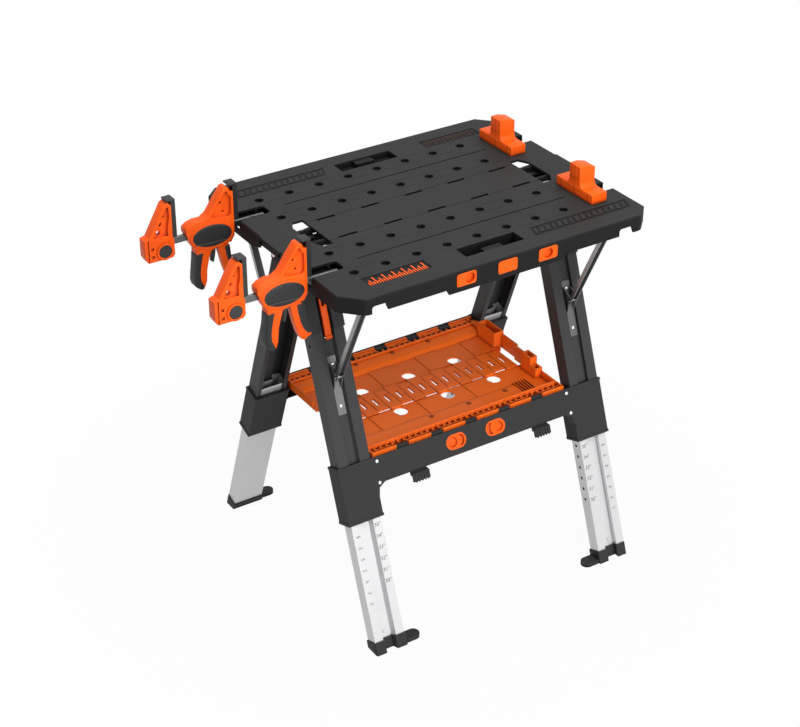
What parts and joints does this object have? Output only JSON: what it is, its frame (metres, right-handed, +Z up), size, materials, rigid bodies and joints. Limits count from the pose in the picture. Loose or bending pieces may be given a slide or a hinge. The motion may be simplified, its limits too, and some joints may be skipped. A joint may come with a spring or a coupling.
{
  "type": "folding workbench",
  "caption": "Folding workbench with a drilled worktop in two folding wings, leaning leg frames with sliding inner legs, a folding tray, dog blocks and bar clamps.",
  "frame": {"origin": "on the floor under the middle of the worktop, with the legs drawn out", "axes": "+X along the worktop's length away from the clamps, +Y to the rear legs, +Z up"},
  "size_m": [1.0085, 0.713, 0.9775],
  "materials": {
    "black_plastic": "satin",
    "orange_plastic": "satin",
    "dark_steel": "satin",
    "black_steel": "satin",
    "brushed_aluminium": "brushed",
    "zinc_rivet": "polished",
    "black_rubber": "matte"
  },
  "bodies": {
    "table": {"center_beam": "black_plastic", "hinge_rods": "dark_steel", "leg_pivots": "dark_steel"},
    "front_wing": {"front_wing": "black_plastic", "front_inserts": "orange_plastic", "front_strut_mounts": "dark_steel"},
    "front_frame": {"front_left_channel": "black_steel", "front_right_channel": "black_steel", "front_beam": "black_plastic", "front_beam_inserts": "orange_plastic", "front_top_brackets": "black_plastic", "front_strut_brackets": "dark_steel", "front_rivets": "zinc_rivet"},
    "front_lever": {"front_lever": "orange_plastic"},
    "front_tray": {"front_tray": "orange_plastic", "front_tray_rod": "dark_steel"},
    "front_left_strut": {"front_left_strut": "dark_steel"},
    "front_left_inner_leg": {"front_left_tube": "brushed_aluminium", "front_left_foot": "black_plastic"},
    "front_right_strut": {"front_right_strut": "dark_steel"},
    "front_right_inner_leg": {"front_right_tube": "brushed_aluminium", "front_right_foot": "black_plastic"},
    "front_dog": {"front_dog": "orange_plastic"},
    "front_clamp": {"front_clamp_bar": "dark_steel", "front_clamp_end_jaw": "orange_plastic", "front_clamp_end_pad": "black_rubber"},
    "front_clamp_button": {"front_clamp_button": "black_plastic"},
    "front_clamp_housing": {"front_clamp_housing": "orange_plastic", "front_clamp_grips": "black_rubber"},
    "front_clamp_trigger": {"front_clamp_trigger": "orange_plastic"},
    "front_clamp_release": {"front_clamp_release": "black_plastic"},
    "rear_wing": {"rear_wing": "black_plastic", "rear_inserts": "orange_plastic", "rear_strut_mounts": "dark_steel"},
    "rear_frame": {"rear_left_channel": "black_steel", "rear_right_channel": "black_steel", "rear_beam": "black_plastic", "rear_beam_inserts": "orange_plastic", "rear_top_brackets": "black_plastic", "rear_strut_brackets": "dark_steel", "rear_rivets": "zinc_rivet"},
    "rear_lever": {"rear_lever": "orange_plastic"},
    "rear_tray": {"rear_tray": "orange_plastic", "rear_tray_rod": "dark_steel"},
    "rear_left_strut": {"rear_left_strut": "dark_steel"},
    "rear_left_inner_leg": {"rear_left_tube": "brushed_aluminium", "rear_left_foot": "black_plastic"},
    "rear_right_strut": {"rear_right_strut": "dark_steel"},
    "rear_right_inner_leg": {"rear_right_tube": "brushed_aluminium", "rear_right_foot": "black_plastic"},
    "rear_dog": {"rear_dog": "orange_plastic"},
    "rear_clamp": {"rear_clamp_bar": "dark_steel", "rear_clamp_end_jaw": "orange_plastic", "rear_clamp_end_pad": "black_rubber"},
    "rear_clamp_button": {"rear_clamp_button": "black_plastic"},
    "rear_clamp_housing": {"rear_clamp_housing": "orange_plastic", "rear_clamp_grips": "black_rubber"},
    "rear_clamp_trigger": {"rear_clamp_trigger": "orange_plastic"},
    "rear_clamp_release": {"rear_clamp_release": "black_plastic"}
  },
  "joints": [
    {"name": "front_wing_fold", "type": "hinge", "parent": "table", "child": "front_wing", "pos_m": [0, -0.046, 0.875], "axis": [1, 0, 0], "range_deg": [0, 66]},
    {"name": "front_frame_fold", "type": "hinge", "parent": "table", "child": "front_frame", "pos_m": [0, -0.028, 0.85], "axis": [1, 0, 0], "range_deg": [0, 20]},
    {"name": "front_tray_fold", "type": "hinge", "parent": "front_frame", "child": "front_tray", "pos_m": [0, -0.18998, 0.41112], "axis": [1, 0, 0], "range_deg": [0, 76]},
    {"name": "front_lever_swing", "type": "hinge", "parent": "front_frame", "child": "front_lever", "pos_m": [-0.316, -0.10336, 0.6912], "axis": [1, 0, 0], "range_deg": [0, 20]},
    {"name": "front_left_strut_swing", "type": "hinge", "parent": "front_wing", "child": "front_left_strut", "pos_m": [-0.316, -0.266, 0.861], "axis": [1, 0, 0], "range_deg": [-111.9, 0]},
    {"name": "front_left_leg_slide", "type": "slide", "parent": "front_frame", "child": "front_left_inner_leg", "axis": [0, 0.342, 0.9397], "range_m": [0, 0.135]},
    {"name": "front_right_strut_swing", "type": "hinge", "parent": "front_wing", "child": "front_right_strut", "pos_m": [0.316, -0.266, 0.861], "axis": [1, 0, 0], "range_deg": [-111.9, 0]},
    {"name": "front_right_leg_slide", "type": "slide", "parent": "front_frame", "child": "front_right_inner_leg", "axis": [0, 0.342, 0.9397], "range_m": [0, 0.135]},
    {"name": "front_dog_lift", "type": "slide", "parent": "front_wing", "child": "front_dog", "axis": [0, 0, 1], "range_m": [0, 0.03]},
    {"name": "front_clamp_lift", "type": "slide", "parent": "front_wing", "child": "front_clamp", "axis": [0, 0, 1], "range_m": [0, 0.06]},
    {"name": "front_clamp_press", "type": "slide", "parent": "front_clamp", "child": "front_clamp_button", "axis": [0, 1, 0], "range_m": [0, 0.003], "stiffness_N_per_m": 300, "springref_m": -0.002},
    {"name": "front_clamp_slide", "type": "slide", "parent": "front_clamp", "child": "front_clamp_housing", "axis": [-1, 0, 0], "range_m": [0, 0.018]},
    {"name": "front_trigger_squeeze", "type": "hinge", "parent": "front_clamp_housing", "child": "front_clamp_trigger", "pos_m": [-0.434, -0.157, 0.8475], "axis": [0, 1, 0], "range_deg": [0, 12], "stiffness_Nm_per_rad": 0.5, "springref_deg": -17.19},
    {"name": "front_release_press", "type": "hinge", "parent": "front_clamp_housing", "child": "front_clamp_release", "pos_m": [-0.452, -0.157, 0.8375], "axis": [0, 1, 0], "range_deg": [0, 5], "stiffness_Nm_per_rad": 0.1, "springref_deg": -17.19},
    {"name": "rear_wing_fold", "type": "hinge", "parent": "table", "child": "rear_wing", "pos_m": [0, 0.046, 0.875], "axis": [-1, 0, 0], "range_deg": [0, 66]},
    {"name": "rear_frame_fold", "type": "hinge", "parent": "table", "child": "rear_frame", "pos_m": [0, 0.028, 0.85], "axis": [-1, 0, 0], "range_deg": [0, 20]},
    {"name": "rear_tray_fold", "type": "hinge", "parent": "rear_frame", "child": "rear_tray", "pos_m": [0, 0.18998, 0.41112], "axis": [-1, 0, 0], "range_deg": [0, 76]},
    {"name": "rear_lever_swing", "type": "hinge", "parent": "rear_frame", "child": "rear_lever", "pos_m": [0.316, 0.10336, 0.6912], "axis": [-1, 0, 0], "range_deg": [0, 20]},
    {"name": "rear_left_strut_swing", "type": "hinge", "parent": "rear_wing", "child": "rear_left_strut", "pos_m": [-0.316, 0.266, 0.861], "axis": [-1, 0, 0], "range_deg": [-111.9, 0]},
    {"name": "rear_left_leg_slide", "type": "slide", "parent": "rear_frame", "child": "rear_left_inner_leg", "axis": [0, -0.342, 0.9397], "range_m": [0, 0.135]},
    {"name": "rear_right_strut_swing", "type": "hinge", "parent": "rear_wing", "child": "rear_right_strut", "pos_m": [0.316, 0.266, 0.861], "axis": [-1, 0, 0], "range_deg": [-111.9, 0]},
    {"name": "rear_right_leg_slide", "type": "slide", "parent": "rear_frame", "child": "rear_right_inner_leg", "axis": [0, -0.342, 0.9397], "range_m": [0, 0.135]},
    {"name": "rear_dog_lift", "type": "slide", "parent": "rear_wing", "child": "rear_dog", "axis": [0, 0, 1], "range_m": [0, 0.03]},
    {"name": "rear_clamp_lift", "type": "slide", "parent": "rear_wing", "child": "rear_clamp", "axis": [0, 0, 1], "range_m": [0, 0.06]},
    {"name": "rear_clamp_press", "type": "slide", "parent": "rear_clamp", "child": "rear_clamp_button", "axis": [0, 1, 0], "range_m": [0, 0.003], "stiffness_N_per_m": 300, "springref_m": -0.002},
    {"name": "rear_clamp_slide", "type": "slide", "parent": "rear_clamp", "child": "rear_clamp_housing", "axis": [-1, 0, 0], "range_m": [0, 0.018]},
    {"name": "rear_trigger_squeeze", "type": "hinge", "parent": "rear_clamp_housing", "child": "rear_clamp_trigger", "pos_m": [-0.434, 0.157, 0.8475], "axis": [0, 1, 0], "range_deg": [0, 12], "stiffness_Nm_per_rad": 0.5, "springref_deg": -17.19},
    {"name": "rear_release_press", "type": "hinge", "parent": "rear_clamp_housing", "child": "rear_clamp_release", "pos_m": [-0.452, 0.157, 0.8375], "axis": [0, 1, 0], "range_deg": [0, 5], "stiffness_Nm_per_rad": 0.1, "springref_deg": -17.19}
  ],
  "couplings": [
    {"joint": "front_tray_fold", "follows": "front_frame_fold", "ratio": 3.8},
    {"joint": "front_left_strut_swing", "follows": "front_wing_fold", "ratio": -1.6949},
    {"joint": "front_right_strut_swing", "follows": "front_wing_fold", "ratio": -1.6949},
    {"joint": "rear_frame_fold", "follows": "front_frame_fold", "ratio": 1},
    {"joint": "rear_tray_fold", "follows": "front_frame_fold", "ratio": 3.8},
    {"joint": "rear_left_strut_swing", "follows": "rear_wing_fold", "ratio": -1.6949},
    {"joint": "rear_right_strut_swing", "follows": "rear_wing_fold", "ratio": -1.6949}
  ]
}
